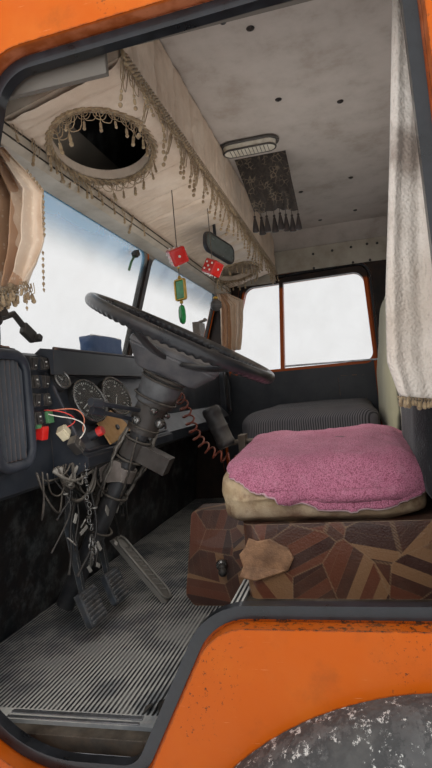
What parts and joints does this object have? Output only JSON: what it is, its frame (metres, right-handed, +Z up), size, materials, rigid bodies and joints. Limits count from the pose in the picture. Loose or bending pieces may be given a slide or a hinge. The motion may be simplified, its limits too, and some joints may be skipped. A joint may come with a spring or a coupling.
{
  "type": "tilting cab of an old decorated lorry",
  "caption": "Orange tilt cab of a cab-over lorry with hinged doors, a turning steering wheel, a lifting front lid, seats, dashboard and fringed decorations.",
  "frame": {"origin": "middle of the front hinge that the cab tilts on", "axes": "+X to the driver's (left) side, -Y to the front of the vehicle, +Z up"},
  "size_m": [3.557, 1.6786, 1.9449],
  "materials": {
    "orange_paint": "worn gloss",
    "dark_steel": "dirty, chipped",
    "red_resin": "glossy",
    "black_plastic": "dusty",
    "lamp_glass": "amber lens",
    "curtain_cloth": "satin, faded",
    "bare_steel": "dull",
    "rubber_seal": "soft sheen",
    "seat_cloth": "worn towelling",
    "glass": "clear, dusty",
    "seat_base_leatherette": "cracked leatherette",
    "floor_rubber": "ribbed, dusty",
    "beige_liner": "matt, aged",
    "hose_rubber": "satin coil",
    "padded_beige": "padded leatherette"
  },
  "bodies": {
    "cab": {"charm_wires": "dark_steel", "charms": "red_resin", "column_clamp": "dark_steel", "column_shroud": "black_plastic", "corner_lamps": "lamp_glass", "curtains": "curtain_cloth", "dash_controls": "black_plastic", "dashboard": "black_plastic", "door_hinge_ears": "bare_steel", "door_seals": "rubber_seal", "driver_backrest": "seat_cloth", "driver_cushion": "seat_cloth", "driver_seat_base": "seat_base_leatherette", "engine_cover": "dark_steel", "floor_mat": "floor_rubber", "floor_pan": "dark_steel", "front_panel": "orange_paint", "gear_lever": "dark_steel", "header_rail": "beige_liner", "header_trims": "beige_liner", "headliner": "beige_liner", "inside_mirror": "black_plastic", "lever_hose": "hose_rubber", "lid_hinge_ears": "bare_steel", "mudguards": "floor_rubber", "outside_mirrors": "black_plastic", "overhead_shelf": "padded_beige", "passenger_backrest": "seat_cloth", "passenger_cushion": "seat_cloth", "passenger_seat_base": "seat_base_leatherette", "pedals": "dark_steel", "rear_glass": "glass", "rear_rests": "dark_steel", "rear_wall": "orange_paint", "roof_lamp": "black_plastic", "roof_panel": "orange_paint", "side_frame_left": "orange_paint", "side_frame_right": "orange_paint", "stalks": "black_plastic", "steering_column": "dark_steel", "tilt_brackets": "dark_steel", "tool_box": "seat_base_leatherette", "valance": "black_plastic", "vent_grilles": "black_plastic", "windscreen_frame": "orange_paint", "windscreen_glass": "glass", "windscreen_seals": "rubber_seal", "wipers": "bare_steel"},
    "driver_door": {"driver_door_glass": "glass", "driver_door_handle": "bare_steel", "driver_door_hinges": "bare_steel", "driver_door_shell": "orange_paint", "driver_door_trim": "black_plastic"},
    "passenger_door": {"passenger_door_glass": "glass", "passenger_door_handle": "bare_steel", "passenger_door_hinges": "bare_steel", "passenger_door_shell": "orange_paint", "passenger_door_trim": "black_plastic"},
    "steering_wheel": {"steering_wheel": "black_plastic"},
    "access_lid": {"access_lid": "orange_paint"}
  },
  "joints": [
    {"name": "driver_door_hinge", "type": "hinge", "parent": "cab", "child": "driver_door", "pos_m": [1.217, -0.022, 0.7], "axis": [0, 0, 1], "range_deg": [0, 78]},
    {"name": "passenger_door_hinge", "type": "hinge", "parent": "cab", "child": "passenger_door", "pos_m": [-1.217, -0.022, 0.7], "axis": [0, 0, 1], "range_deg": [0, 78]},
    {"name": "steering_turn", "type": "hinge", "parent": "cab", "child": "steering_wheel", "pos_m": [0.68, 0.362, 1.086], "axis": [0, 0.5, 0.866], "range_deg": [-720, 720]},
    {"name": "front_lid_hinge", "type": "hinge", "parent": "cab", "child": "access_lid", "pos_m": [0, -0.16834, 0.91912], "axis": [-1, 0, 0], "range_deg": [0, 95]}
  ]
}
